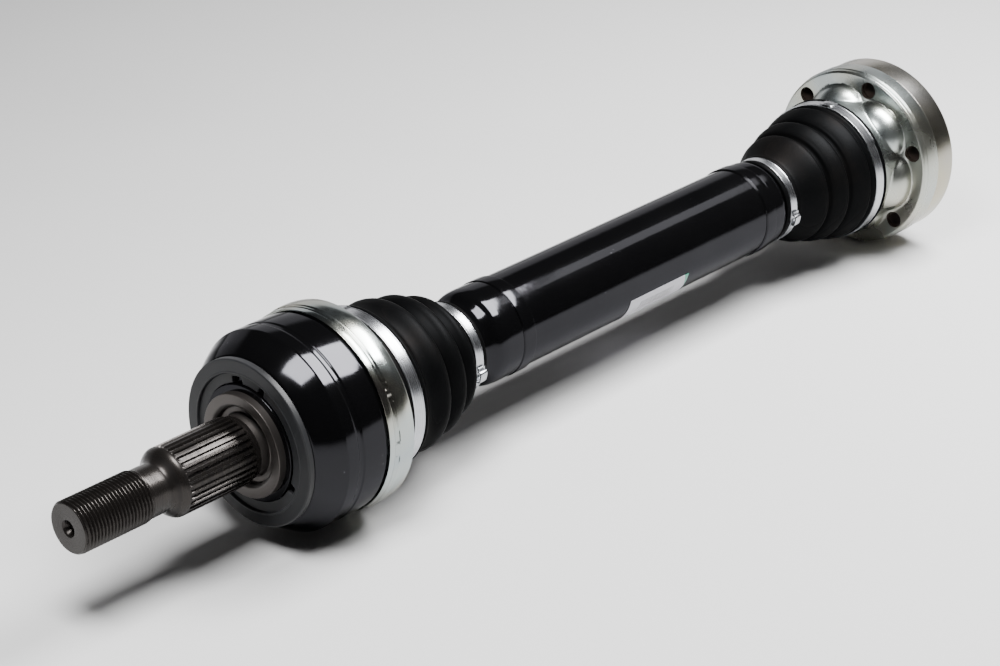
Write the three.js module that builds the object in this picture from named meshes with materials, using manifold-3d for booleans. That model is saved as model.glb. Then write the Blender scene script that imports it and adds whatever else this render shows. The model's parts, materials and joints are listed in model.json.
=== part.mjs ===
// Drive axle with two ball-type constant velocity joints and a tubular shaft.
// Millimetres, +Z up. The axle lies along X with its gearbox end at +X; the origin is the
// centre of the flat crown of the inboard end cap.
import * as THREE from 'three';
import { mergeVertices } from 'three/addons/utils/BufferGeometryUtils.js';
import Module from 'manifold-3d';

const wasm = await Module();
wasm.setup();

// ---- driving dimensions ----
const JOINT_SPAN = 468.9;          // between the two joint centres
const FIT_GAP = 0.3;               // between pieces that seat on one another
const RIM_SEGMENTS = 26;           // facets round a large turned piece
const SMALL_SEGMENTS = 18;         // facets round a small one

const flange = {
  radius: 54.6, seatRadius: 53.1, width: 29, boltCircle: 47, boltHole: 5.05, bolts: 6,
  clock: 12.2, edge: 1.6, capSeatRadius: 40.2, capSeatDepth: 3, joint: 17.3,
};
const cap = {
  radius: 55, face: 54, sheet: 1.9, wall: 1.5, skirt: 13.2, neckRadius: 39.6, neckEnd: 47, fillet: 4,
};
const pocket = { pitch: 28.3, reach: 18, halfWidth: 20.2, depth: 18 };
const endCap = { rise: 11, wall: 0.8, crown: 24, corner: 9 };
const inboard = {
  ball: 9.3, pitch: 29.5, side: 0.75, land: 31.5, cageOuter: 30.8, cageInner: 26.8,
  cageHalf: 13, window: 11.4, raceRadius: 26.2, raceHalf: 11, bore: 13.3,
};
const outboard = {
  ball: 9.9, pitch: 33.5, side: 1.0, land: 37, cageOuter: 36.3, cageInner: 31,
  cageHalf: 14.5, window: 11, raceRadius: 30.3, raceHalf: 12.5, bore: 13.3, clock: 90,
  trackFrom: -36, trackTo: 62,   // degrees that a ball's path runs through in the bell
};
const BALLS = 6;
const WINDOW_PLAY = 0.35;          // each side of a ball, along the axle
const bell = {
  radius: 53.2, chamferRadius: 43.5, chamferBack: 40, chamferFront: 26.4, mouthRadius: 52.3,
  step: 0.8, mouth: 14, floor: 33, shoulder: 47.7, shoulderRadius: 27.3, shoulderInner: 21.6,
  recess: 43.8, grooveFrom: 19.4, grooveTo: 15.4, groove: 0.45,
  hubRadius: 30.6, hubBack: 42.5,
};
const stub = {
  end: 154.2, thread: 13.5, threadRun: 113.8, neck: 12.7, neckRun: 103.4, flareRun: 95.2,
  splineTip: 17.9, splineRoot: 16.5, splineEnd: 54.5, reliefEnd: 49.4, teeth: 33, edge: 1.2,
  drill: 3.2, drillDepth: 6, relief: 16.2,
};
const dustRing = { radius: 43.9, stepRadius: 36.6, inner: 31, thick: 3.4, step: 1.6 };
const adapter = { radius: 54.8, wall: 1.6, back: 18, collarOuter: 41.2, collarEnd: 38 };
const shaft = {
  spline: 13, neck: 13, seat: 21.5, body: 26.7, collar: 27.2, collarLength: 9.6, spigot: 8,
  tube: 26.1, tubeBore: 22.4, ringRadius: 12.2,
};
// distances along the shaft, measured from the joint centre towards the middle of the shaft
const outboardRun = { neckEnd: 64, seatStart: 82, seatEnd: 103.5, bodyStart: 114, collar: 128 };
const inboardRun = { neckEnd: 72, seatStart: 92, seatEnd: 110, bodyStart: 113.5, collar: 122.8 };
const clip = { thick: 1.6, radius: 14.6, gap: 1.2, fromRace: 0.4, play: 0.3, mouth: 24 };
const label = { length: 50, centre: 238.5, arc: 90, thick: 0.3, offset: 202.7 };
const outboardBoot = {
  wall: 2.4, sleeve: 43.1, lip: 44, sleeveStart: 26, sleeveEnd: 37,
  seatEnd: 39, smallStart: 88, smallEnd: 101,
  small: 24.3, smallLip: 25.2,
};
const inboardBoot = {
  wall: 2.3, sleeve: 41.4, lip: 42.8, sleeveStart: 36.2, sleeveEnd: 48,
  seatEnd: 48.4, smallStart: 98,
  smallEnd: 110, small: 24.1, smallLip: 25,
};
const band = {
  thick: 1, largeWidth: 7.4, smallWidth: 5.6, lugHeight: 2.6, lugWidth: 7,
  fromLargeLip: 2.2, fromSmallLip: 2.9,
};
// where each clamp's ear stands, in degrees from +Y towards +Z
const ears = { inboardLarge: 93, inboardSmall: 191, outboardLarge: 30, outboardSmall: 194 };

// ---- small tools ----
const degrees = THREE.MathUtils.degToRad;
const point = (x, radius) => new THREE.Vector2(radius, x);

function lathe(points, segments = RIM_SEGMENTS) {
  // a turned solid about X; its outline runs anticlockwise, [x, radius]
  const outline = points.map(([x, radius]) => point(x, radius));
  const geometry = new THREE.LatheGeometry(outline, segments);
  return geometry.rotateZ(-Math.PI / 2);
}

function ring(xFrom, xTo, inner, outer, segments = RIM_SEGMENTS) {
  const corners = [[xFrom, inner], [xFrom, outer], [xTo, outer], [xTo, inner], [xFrom, inner]];
  return lathe(corners, segments);
}

function rod(xFrom, xTo, radius, segments = 12) {
  const geometry = new THREE.CylinderGeometry(radius, radius, xTo - xFrom, segments);
  return geometry.rotateZ(-Math.PI / 2).translate((xFrom + xTo) / 2, 0, 0);
}

function box(x, y, z) {
  return new THREE.BoxGeometry(x, y, z);
}

function around(geometry, angle) {
  // turns a piece about the axle; angle 0 is +Y and it grows towards +Z
  return geometry.clone().rotateX(degrees(angle));
}

function arcPoints(centreX, centreRadius, size, from, to, count) {
  // outline points on an arc; 0 degrees points along +X and 90 away from the axle
  return Array.from({ length: count + 1 }, (_, i) => {
    const angle = degrees(from + (to - from) * i / count);
    return [centreX + size * Math.cos(angle), centreRadius + size * Math.sin(angle)];
  });
}

function solid(geometry) {
  const bare = geometry.index ? geometry.clone() : mergeVertices(geometry);
  bare.deleteAttribute('normal');
  bare.deleteAttribute('uv');
  const merged = mergeVertices(bare, 1e-4);
  const mesh = new wasm.Mesh({
    numProp: 3,
    vertProperties: new Float32Array(merged.attributes.position.array),
    triVerts: new Uint32Array(merged.index.array),
  });
  return new wasm.Manifold(mesh);
}

function geometryOf(manifold) {
  const mesh = manifold.getMesh();
  const geometry = new THREE.BufferGeometry();
  geometry.setAttribute('position', new THREE.BufferAttribute(mesh.vertProperties, 3));
  geometry.setIndex(new THREE.BufferAttribute(mesh.triVerts, 1));
  geometry.computeVertexNormals();
  return geometry;
}

function cut(base, tools) {
  return geometryOf(tools.reduce((left, tool) => left.subtract(solid(tool)), solid(base)));
}

function join(pieces) {
  const [first, ...rest] = pieces.map(solid);
  return rest.reduce((sum, piece) => sum.add(piece), first);
}

const ballAngles = (clock) => Array.from({ length: BALLS }, (_, i) => clock + i * 360 / BALLS);

// ---- materials ----
const finish = (color, roughness, metalness) =>
  new THREE.MeshStandardMaterial({ color, roughness, metalness });
const blackPaint = () => finish(0x17181b, 0.22, 0.3);
const phosphated = () => finish(0x4a4642, 0.45, 0.8);
const zinc = () => finish(0xb9bcc0, 0.25, 0.95);
const bandSteel = () => finish(0xc4c6ca, 0.22, 1);
const rubber = () => finish(0x1c1c1e, 0.6, 0);
const bearingSteel = () => finish(0x9fa3a8, 0.18, 1);
const hardSteel = () => finish(0x5d5f62, 0.4, 0.9);

function add(group, name, geometry, material) {
  const mesh = new THREE.Mesh(geometry, material);
  mesh.name = name;
  group.add(mesh);
}

// ---- parts shared by both joints ----
function straightTrack(joint, angle, xFrom, xTo) {
  const sides = 16;
  const radius = (joint.ball + joint.side) / Math.cos(Math.PI / sides);
  return around(rod(xFrom, xTo, radius, sides).translate(0, joint.pitch, 0), angle);
}

function curvedTrack(joint, angle, from, to) {
  // a tube round the arc that a ball's centre follows; 0 degrees is abreast of the joint centre
  const sides = 10;
  const radius = (joint.ball + joint.side) / Math.cos(Math.PI / sides);
  const circle = new THREE.Shape();
  for (let i = 0; i < sides; i += 1) {
    const turn = 2 * Math.PI * (i + 0.5) / sides;
    const x = radius * Math.cos(turn);
    const y = radius * Math.sin(turn);
    if (i === 0) circle.moveTo(x, y);
    else circle.lineTo(x, y);
  }
  class BallPath extends THREE.Curve {
    getPoint(t, target = new THREE.Vector3()) {
      const swing = degrees(from + (to - from) * t);
      return target.set(joint.pitch * Math.sin(swing), joint.pitch * Math.cos(swing), 0);
    }
  }
  const options = { steps: 8, extrudePath: new BallPath(), bevelEnabled: false };
  return around(new THREE.ExtrudeGeometry(circle, options), angle);
}

function ballGeometry(joint) {
  return new THREE.SphereGeometry(joint.ball, 10, 6);
}

function cageGeometry(joint, clock) {
  const outer = Math.asin(joint.cageHalf / joint.cageOuter) * 180 / Math.PI;
  const inner = Math.asin(joint.cageHalf / joint.cageInner) * 180 / Math.PI;
  const outline = [
    ...arcPoints(0, 0, joint.cageOuter, 90 + outer, 90 - outer, 4),
    ...arcPoints(0, 0, joint.cageInner, 90 - inner, 90 + inner, 4),
  ];
  outline.push(outline[0]);
  const depth = 2 * (joint.cageOuter - joint.cageInner) + 10;
  const windowWide = 2 * (joint.ball + WINDOW_PLAY);
  const windows = ballAngles(clock).map((angle) => {
    const opening = box(windowWide, depth, 2 * joint.window);
    return around(opening.translate(0, joint.pitch, 0), angle);
  });
  return cut(lathe(outline), windows);
}

function innerRaceGeometry(joint, clock) {
  const reach = Math.asin(joint.raceHalf / joint.raceRadius) * 180 / Math.PI;
  const outline = [
    [joint.raceHalf, joint.bore],
    [-joint.raceHalf, joint.bore],
    ...arcPoints(0, 0, joint.raceRadius, 90 + reach, 90 - reach, 4),
    [joint.raceHalf, joint.bore],
  ];
  const past = 60;                 // degrees; further than the race reaches
  const tracks = ballAngles(clock).map((angle) => curvedTrack(joint, angle, -past, past));
  return cut(lathe(outline), tracks);
}

function circlipGeometry() {
  const outer = new THREE.Shape();
  const half = degrees(clip.mouth / 2);
  outer.absarc(0, 0, clip.radius, half, 2 * Math.PI - half, false);
  outer.absarc(0, 0, shaft.ringRadius + FIT_GAP, 2 * Math.PI - half, half, true);
  outer.closePath();
  const options = { depth: clip.thick, bevelEnabled: false, curveSegments: 12 };
  return new THREE.ExtrudeGeometry(outer, options).rotateY(Math.PI / 2);
}

function clampGeometry(from, width, inner, lugAngle) {
  const hoop = ring(from, from + width, inner, inner + band.thick);
  const height = band.lugHeight + band.thick / 2;
  const lug = box(width * 0.86, height, band.lugWidth);
  lug.translate(from + width / 2, inner + band.thick / 2 + height / 2, 0);
  return geometryOf(join([hoop, around(lug, lugAngle)]));
}

function bellowsGeometry(boot, sign, folds, seatLarge, seatSmall) {
  // a convoluted boot of even wall, from the large sleeve to the small collar
  const outer = [
    [boot.sleeveStart, boot.lip], [boot.sleeveStart + 1.2, boot.lip],
    [boot.sleeveStart + 1.6, boot.sleeve], [boot.sleeveEnd - 0.6, boot.sleeve],
    ...folds,
    [boot.smallStart, boot.smallLip], [boot.smallStart + 1.2, boot.smallLip],
    [boot.smallStart + 1.6, boot.small], [boot.smallEnd - 2.4, boot.small],
    [boot.smallEnd - 2, boot.smallLip], [boot.smallEnd, boot.smallLip],
  ];
  const valleys = folds.filter(([, radius], i) => i % 2 === 1 && radius > seatSmall + boot.wall);
  const inner = [
    [boot.smallEnd, seatSmall], [boot.smallStart, seatSmall],
    ...valleys.reverse().map(([x, radius]) => [x, radius - boot.wall]),
    [boot.seatEnd, seatLarge], [boot.sleeveStart, seatLarge],
  ];
  const outline = [...outer, ...inner, outer[0]];
  const placed = outline.map(([x, radius]) => [sign * x, radius]);
  return lathe(sign > 0 ? placed : placed.reverse());
}

// ---- inboard joint: disc outer race that bolts to the gearbox ----
const inboardJoint = new THREE.Group();
inboardJoint.position.x = -(flange.joint + endCap.rise);
const raceBack = flange.joint;
const raceFront = flange.joint - flange.width;
const inboardBalls = ballAngles(flange.clock);
const boltAngles = inboardBalls.map((angle) => angle + 180 / flange.bolts);
const boltHoles = boltAngles.map((angle) =>
  around(rod(-60, 60, flange.boltHole, 14).translate(0, flange.boltCircle, 0), angle));

function outerRaceGeometry() {
  const skirtEnd = raceFront + cap.skirt + FIT_GAP;
  const seat = raceBack - flange.capSeatDepth;
  const blank = lathe([
    [raceFront, inboard.land], [raceFront, flange.seatRadius], [skirtEnd, flange.seatRadius],
    [skirtEnd, flange.radius - 0.5], [skirtEnd + 0.5, flange.radius],
    [raceBack - flange.edge, flange.radius], [raceBack, flange.radius - flange.edge],
    [raceBack, flange.capSeatRadius], [seat, flange.capSeatRadius], [seat, inboard.land],
    [raceFront, inboard.land],
  ]);
  const tracks = inboardBalls.map((angle) => straightTrack(inboard, angle, raceFront - 5, raceBack));
  return cut(blank, [...tracks, ...boltHoles]);
}

function flangeCapGeometry() {
  const back = raceFront - FIT_GAP;
  const front = back - cap.sheet;
  const neckInner = cap.neckRadius - cap.wall;
  const neck = cap.neckRadius;
  const hollowEnd = front + pocket.depth + 1;
  const filled = lathe([
    [back + cap.skirt, 0], [-cap.neckEnd, 0], [-cap.neckEnd, neck], [front - 2 * cap.fillet, neck],
    [front - cap.fillet, neck + 0.15 * cap.fillet], [front - 0.4 * cap.fillet, neck + 0.45 * cap.fillet],
    [front, neck + cap.fillet],
    [front, cap.face], [front + 1, cap.radius], [back + cap.skirt, cap.radius],
    [back + cap.skirt, 0],
  ]);
  const hollow = lathe([
    [hollowEnd, 0], [-cap.neckEnd - 1, 0], [-cap.neckEnd - 1, neckInner],
    [front - 2 * cap.fillet, neckInner], [front - 0.75 * cap.fillet, neckInner + 0.15 * cap.fillet],
    [back, neckInner + 0.6 * cap.fillet],
    [back, flange.seatRadius + FIT_GAP], [hollowEnd, flange.seatRadius + FIT_GAP], [hollowEnd, 0],
  ]);
  const dome = (wall, angle) => {
    const egg = new THREE.SphereGeometry(1, 18, 10);
    egg.scale(pocket.depth - wall, pocket.reach - wall, pocket.halfWidth - wall);
    return around(egg.translate(front, pocket.pitch, 0), angle);
  };
  const outside = [filled, ...inboardBalls.map((angle) => dome(0, angle))];
  const inside = [hollow, ...inboardBalls.map((angle) => dome(cap.wall, angle))];
  const shell = join(outside).subtract(join(inside));
  return geometryOf(boltHoles.reduce((left, hole) => left.subtract(solid(hole)), shell));
}

function endCapGeometry() {
  const rim = flange.capSeatRadius - FIT_GAP;
  const seat = raceBack - flange.capSeatDepth + FIT_GAP;
  const crownX = raceBack + endCap.rise;
  const cornerX = crownX - endCap.corner;
  const cornerRadius = rim - endCap.corner;
  const inner = endCap.corner - endCap.wall;
  return lathe([
    [seat, rim - endCap.wall], [seat, rim],
    ...arcPoints(cornerX, cornerRadius, endCap.corner, 90, 0, 4),
    [crownX, 0], [crownX - endCap.wall, 0],
    ...arcPoints(cornerX, cornerRadius, inner, 0, 90, 4),
    [seat, rim - endCap.wall],
  ]);
}

const inboardFolds = [
  [49.5, 40.9], [52, 40.3], [57, 38.6], [61.5, 34.6], [64, 34.4], [67, 36.9], [71, 36.2],
  [75.5, 31], [78, 30.6], [81, 32.8], [85, 31.8], [91, 27.2], [96, 25.1],
];
add(inboardJoint, 'inboard_outer_race', outerRaceGeometry(), bearingSteel());
add(inboardJoint, 'flange_cap', flangeCapGeometry(), zinc());
add(inboardJoint, 'flange_end_cap', endCapGeometry(), zinc());
inboardBalls.forEach((angle, i) => {
  const ball = around(ballGeometry(inboard).translate(0, inboard.pitch, 0), angle);
  add(inboardJoint, `inboard_ball_${i + 1}`, ball, bearingSteel());
});
add(inboardJoint, 'inboard_cage', cageGeometry(inboard, flange.clock), hardSteel());
add(inboardJoint, 'inboard_inner_race', innerRaceGeometry(inboard, flange.clock), hardSteel());
add(inboardJoint, 'inboard_circlip', circlipGeometry().translate(inboard.raceHalf + clip.fromRace, 0, 0),
  bandSteel());
const inboardNeckSeat = cap.neckRadius + FIT_GAP;
const seatOnShaft = shaft.seat + FIT_GAP;
add(inboardJoint, 'inboard_boot',
  bellowsGeometry(inboardBoot, -1, inboardFolds, inboardNeckSeat, seatOnShaft), rubber());
add(inboardJoint, 'inboard_large_clamp',
  clampGeometry(-inboardBoot.sleeveStart - band.fromLargeLip - band.largeWidth, band.largeWidth,
    inboardBoot.sleeve + FIT_GAP, ears.inboardLarge), bandSteel());
add(inboardJoint, 'inboard_small_clamp',
  clampGeometry(-inboardBoot.smallEnd + band.fromSmallLip, band.smallWidth,
    inboardBoot.small + FIT_GAP, ears.inboardSmall), bandSteel());

// ---- outboard joint: bell with the wheel stub ----
const outboardJoint = new THREE.Group();
outboardJoint.position.x = inboardJoint.position.x - JOINT_SPAN;
const outboardBalls = ballAngles(outboard.clock);

function toothedRod() {
  const outline = new THREE.Shape();
  const pitch = 2 * Math.PI / stub.teeth;
  for (let i = 0; i < stub.teeth; i += 1) {
    const corners = [[-0.3, stub.splineRoot], [-0.14, stub.splineTip],
      [0.14, stub.splineTip], [0.3, stub.splineRoot]];
    corners.forEach(([share, radius], k) => {
      const turn = (i + share) * pitch;
      const x = radius * Math.cos(turn);
      const y = radius * Math.sin(turn);
      if (i === 0 && k === 0) outline.moveTo(x, y);
      else outline.lineTo(x, y);
    });
  }
  const options = { depth: stub.flareRun - stub.splineEnd - 2, bevelEnabled: false };
  return new THREE.ExtrudeGeometry(outline, options).rotateY(Math.PI / 2).translate(-stub.flareRun + 2, 0, 0);
}

function bellGeometry() {
  const floorAngle = Math.asin(bell.floor / outboard.land) * 180 / Math.PI;
  const mouthAngle = Math.asin((bell.mouth - 3) / outboard.land) * 180 / Math.PI;
  const root = stub.splineRoot + 0.2;
  const body = lathe([
    [-bell.floor, 0],
    [-stub.end + stub.drillDepth, 0], [-stub.end, stub.drill],
    [-stub.end, stub.thread - stub.edge], [-stub.end + stub.edge, stub.thread],
    [-stub.threadRun, stub.thread], [-stub.threadRun + 0.8, stub.neck],
    [-stub.neckRun, stub.neck], [-stub.neckRun + 4.5, stub.neck + 2],
    [-stub.flareRun + 0.5, stub.splineTip - 0.4], [-stub.flareRun + 2.2, stub.splineTip],
    [-stub.flareRun + 5, root], [-stub.splineEnd, root], [-stub.reliefEnd, stub.relief],
    [-bell.recess, stub.relief], [-bell.recess, bell.shoulderInner - 1],
    [-bell.shoulder, bell.shoulderInner],
    [-bell.shoulder, bell.shoulderRadius], [-bell.hubBack, bell.shoulderRadius],
    [-bell.hubBack, bell.hubRadius], [-bell.chamferBack, bell.hubRadius],
    [-bell.chamferBack, bell.chamferRadius],
    [-(bell.chamferBack + bell.chamferFront) / 2, (bell.chamferRadius + bell.radius) / 2 + 0.7],
    [-bell.chamferFront, bell.radius], [-bell.grooveFrom, bell.radius],
    [-bell.grooveFrom + bell.groove, bell.radius - bell.groove],
    [-bell.grooveTo - bell.groove, bell.radius - bell.groove], [-bell.grooveTo, bell.radius],
    [-bell.step, bell.radius], [-bell.step, bell.mouthRadius],
    [bell.mouth, bell.mouthRadius], [bell.mouth, outboard.land + 1],
    ...arcPoints(0, 0, outboard.land, 90 - mouthAngle, 90 + floorAngle, 7),
    [-bell.floor, 0],
  ]);
  const blank = join([body, toothedRod()]);
  const tracks = outboardBalls.map((angle) => solid(
    curvedTrack(outboard, angle, outboard.trackFrom, outboard.trackTo)));
  return geometryOf(tracks.reduce((left, track) => left.subtract(track), blank));
}

function dustRingGeometry() {
  const back = -bell.chamferBack - FIT_GAP;
  const face = back - dustRing.thick;
  return lathe([
    [back, dustRing.inner], [face + dustRing.step, dustRing.inner],
    [face + dustRing.step, dustRing.stepRadius - 0.6], [face, dustRing.stepRadius],
    [face, dustRing.radius - 0.8], [face + 0.8, dustRing.radius], [back, dustRing.radius],
    [back, dustRing.inner],
  ]);
}

function adapterGeometry() {
  const bore = bell.mouthRadius + FIT_GAP;
  const inner = adapter.collarOuter - adapter.wall;
  const back = adapter.back;
  const front = -bell.step + FIT_GAP;
  return lathe([
    [front, bore], [front, adapter.radius - 1], [front + 2.4, adapter.radius - 0.7],
    [front + 2.8, adapter.radius], [back - 1.4, adapter.radius],
    [back, adapter.radius - 1.4], [back, adapter.radius - 3.4], [back - 1.2, adapter.radius - 5],
    [back - 1.2, adapter.collarOuter + 1.6], [back + 0.4, adapter.collarOuter],
    [adapter.collarEnd, adapter.collarOuter], [adapter.collarEnd, inner],
    [back - 1.2 - adapter.wall, inner], [back - 1.2 - adapter.wall, bore], [front, bore],
  ]);
}

const outboardFolds = [
  [38.5, 42.2], [43, 40.5], [50, 41.1], [55, 41.8], [59.2, 36], [61.5, 35.6], [66, 38.4],
  [70.2, 38.2], [74.5, 31.4], [77, 31], [80.5, 33.6], [83.6, 33.2], [86.6, 27.4],
];
add(outboardJoint, 'wheel_bell', bellGeometry(), blackPaint());
add(outboardJoint, 'hub_dust_ring', dustRingGeometry(), rubber());
add(outboardJoint, 'outboard_boot_adapter', adapterGeometry(), zinc());
outboardBalls.forEach((angle, i) => {
  const ball = around(ballGeometry(outboard).translate(0, outboard.pitch, 0), angle);
  add(outboardJoint, `outboard_ball_${i + 1}`, ball, bearingSteel());
});
add(outboardJoint, 'outboard_cage', cageGeometry(outboard, outboard.clock), hardSteel());
add(outboardJoint, 'outboard_inner_race', innerRaceGeometry(outboard, outboard.clock), hardSteel());
add(outboardJoint, 'outboard_circlip',
  circlipGeometry().translate(-outboard.raceHalf - clip.fromRace - clip.thick, 0, 0), bandSteel());
const outboardCollarSeat = adapter.collarOuter + FIT_GAP;
add(outboardJoint, 'outboard_boot',
  bellowsGeometry(outboardBoot, 1, outboardFolds, outboardCollarSeat, seatOnShaft), rubber());
add(outboardJoint, 'outboard_large_clamp',
  clampGeometry(outboardBoot.sleeveStart + band.fromLargeLip, band.largeWidth,
    outboardBoot.sleeve + FIT_GAP, ears.outboardLarge), bandSteel());
add(outboardJoint, 'outboard_small_clamp',
  clampGeometry(outboardBoot.smallEnd - band.fromSmallLip - band.smallWidth, band.smallWidth,
    outboardBoot.small + FIT_GAP, ears.outboardSmall), bandSteel());

// ---- shaft: two forged ends welded to a tube ----
const axleShaft = new THREE.Group();
axleShaft.position.x = inboardJoint.position.x;

function shaftEndGeometry(joint, run, sign) {
  // x runs from the joint centre towards the middle of the shaft, then is turned by sign
  const past = joint.raceHalf + clip.gap + clip.thick + 0.8;
  const bore = joint.bore - FIT_GAP;
  const groove = joint.raceHalf + clip.fromRace;
  const grooveEnd = groove + clip.thick + clip.play;
  const collarEnd = run.collar + shaft.collarLength;
  const outline = [
    [-past, 0], [collarEnd + shaft.spigot, 0],
    [collarEnd + shaft.spigot, shaft.tubeBore - FIT_GAP], [collarEnd, shaft.tubeBore - FIT_GAP],
    [collarEnd, shaft.collar - 0.5], [collarEnd - 0.8, shaft.collar],
    [run.collar + 0.8, shaft.collar], [run.collar, shaft.body],
    [run.bodyStart, shaft.body], [run.bodyStart - 2, shaft.body - 1],
    [run.seatEnd + 1.5, shaft.seat + 0.6], [run.seatEnd, shaft.seat], [run.seatStart, shaft.seat],
    [(run.seatStart + run.neckEnd) / 2, (shaft.seat + shaft.neck) / 2 + 0.6],
    [run.neckEnd, shaft.neck], [joint.raceHalf + 2, bore],
    [-groove + clip.play, bore], [-groove + clip.play, shaft.ringRadius],
    [-grooveEnd, shaft.ringRadius], [-grooveEnd, bore - 0.4],
    [-past + 0.8, bore - 0.6], [-past, bore - 1.4], [-past, 0],
  ];
  const placed = outline.map(([x, radius]) => [sign * x, radius]);
  return lathe(sign > 0 ? placed.reverse() : placed, SMALL_SEGMENTS);
}

function labelGeometry() {
  const inner = shaft.tube + FIT_GAP;
  const half = degrees(label.arc / 2);
  const sheet = new THREE.Shape();
  sheet.absarc(0, 0, inner + label.thick, -half, half, false);
  sheet.absarc(0, 0, inner, half, -half, true);
  sheet.closePath();
  const options = { depth: label.length, bevelEnabled: false, curveSegments: 10 };
  return new THREE.ExtrudeGeometry(sheet, options).rotateY(Math.PI / 2).rotateX(Math.PI / 2);
}

const tubeFrom = inboardRun.collar + shaft.collarLength + FIT_GAP;
const tubeTo = JOINT_SPAN - outboardRun.collar - shaft.collarLength - FIT_GAP;
add(axleShaft, 'shaft_inboard_end', shaftEndGeometry(inboard, inboardRun, -1), blackPaint());
add(axleShaft, 'shaft_tube', ring(-tubeTo, -tubeFrom, shaft.tubeBore, shaft.tube), blackPaint());
const labelSheet = around(labelGeometry(), label.centre);
add(axleShaft, 'shaft_label', labelSheet.translate(-label.offset - label.length, 0, 0),
  finish(0xe8e8e4, 0.5, 0));
const outboardEnd = shaftEndGeometry(outboard, outboardRun, 1);
add(axleShaft, 'shaft_outboard_end', outboardEnd.translate(-JOINT_SPAN, 0, 0), blackPaint());

const axle = new THREE.Group();
axle.add(outboardJoint, axleShaft, inboardJoint);
export default axle;
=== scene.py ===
import json
import math
import bmesh
import bpy
import numpy as np
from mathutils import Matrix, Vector


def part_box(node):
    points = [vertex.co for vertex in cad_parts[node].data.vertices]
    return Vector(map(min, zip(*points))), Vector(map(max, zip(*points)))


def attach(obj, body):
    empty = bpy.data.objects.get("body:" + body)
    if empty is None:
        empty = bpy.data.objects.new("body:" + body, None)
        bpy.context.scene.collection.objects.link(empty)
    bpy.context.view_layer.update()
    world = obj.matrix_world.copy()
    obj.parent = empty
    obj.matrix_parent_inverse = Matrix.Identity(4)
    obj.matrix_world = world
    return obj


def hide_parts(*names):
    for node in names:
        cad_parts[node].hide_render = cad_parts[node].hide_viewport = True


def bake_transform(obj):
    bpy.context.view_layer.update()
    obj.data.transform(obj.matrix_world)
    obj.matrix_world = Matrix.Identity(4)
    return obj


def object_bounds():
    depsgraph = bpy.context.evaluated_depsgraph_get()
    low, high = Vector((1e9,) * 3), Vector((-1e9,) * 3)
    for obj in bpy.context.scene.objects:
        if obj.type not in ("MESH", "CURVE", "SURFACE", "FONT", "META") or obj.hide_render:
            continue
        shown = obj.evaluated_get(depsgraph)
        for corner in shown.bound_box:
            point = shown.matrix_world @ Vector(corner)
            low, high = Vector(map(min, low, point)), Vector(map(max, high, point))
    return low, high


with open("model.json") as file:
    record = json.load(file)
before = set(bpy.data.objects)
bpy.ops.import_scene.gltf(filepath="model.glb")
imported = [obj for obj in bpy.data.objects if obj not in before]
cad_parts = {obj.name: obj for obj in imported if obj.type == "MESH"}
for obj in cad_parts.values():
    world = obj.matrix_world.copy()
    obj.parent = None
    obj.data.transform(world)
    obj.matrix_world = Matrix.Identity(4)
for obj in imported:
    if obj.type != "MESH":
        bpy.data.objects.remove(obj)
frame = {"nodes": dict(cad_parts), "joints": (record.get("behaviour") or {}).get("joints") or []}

cad_low, cad_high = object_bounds()


# ---- Threaded stub ----
# The wheel end of the axle: a forged steel stub with a rolled 27 mm thread for the hub nut.
# It is phosphated to a brown-grey and lightly oiled, and was turned between centres, which
# left the drilled centre in its end face.
MM = 0.001


def joint_x(name):
    return next(j["pos_m"][0] for j in frame["joints"] if j["name"] == name)


wheel_joint = joint_x("outboard_tilt_a")
stub_end = (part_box("wheel_bell")[0].x - wheel_joint) / MM


def skin(name, grid, origin, closed=True):
    """A mesh over grid[round the axle][along the outline] = (x, radius, angle) in millimetres."""
    rows, columns = grid.shape[:2]
    x, radius, angle = grid[..., 0], grid[..., 1], grid[..., 2]
    points = np.stack([x * MM + origin, radius * np.cos(angle) * MM, radius * np.sin(angle) * MM], -1)
    steps = columns if closed else columns - 1
    a = np.arange(rows)[:, None] * columns + np.arange(steps)[None, :]
    b = np.arange(rows)[:, None] * columns + (np.arange(steps)[None, :] + 1) % columns
    after = columns * rows
    faces = np.stack([a, (a + columns) % after, (b + columns) % after, b], -1).reshape(-1, 4)
    mesh = bpy.data.meshes.new(name)
    mesh.from_pydata(points.reshape(-1, 3).tolist(), [], faces.tolist())
    return finish_mesh(name, mesh)


def finish_mesh(name, mesh, crease=32):
    work = bmesh.new()
    work.from_mesh(mesh)
    bmesh.ops.remove_doubles(work, verts=work.verts, dist=2e-6)
    bmesh.ops.recalc_face_normals(work, faces=work.faces)
    work.to_mesh(mesh)
    work.free()
    mesh.shade_smooth()
    mesh.set_sharp_from_angle(angle=math.radians(crease))
    piece = bpy.data.objects.new(name, mesh)
    bpy.context.collection.objects.link(piece)
    return piece


def rounded(corners, fine=5):
    """An outline whose corners [x, radius, rounding] are turned into arcs."""
    outline = []
    count = len(corners)
    for i, corner in enumerate(corners):
        here = np.array(corner[:2], float)
        size = corner[2] if len(corner) > 2 else 0
        if not size or i in (0, count - 1):
            outline.append(here)
            continue
        back = np.array(corners[i - 1][:2], float) - here
        on = np.array(corners[i + 1][:2], float) - here
        reach = min(size, 0.48 * np.linalg.norm(back), 0.48 * np.linalg.norm(on))
        first = here + back / np.linalg.norm(back) * reach
        last = here + on / np.linalg.norm(on) * reach
        for t in np.linspace(0, 1, fine + 1):
            outline.append((1 - t) ** 2 * first + 2 * t * (1 - t) * here + t * t * last)
    return np.array(outline)


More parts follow.
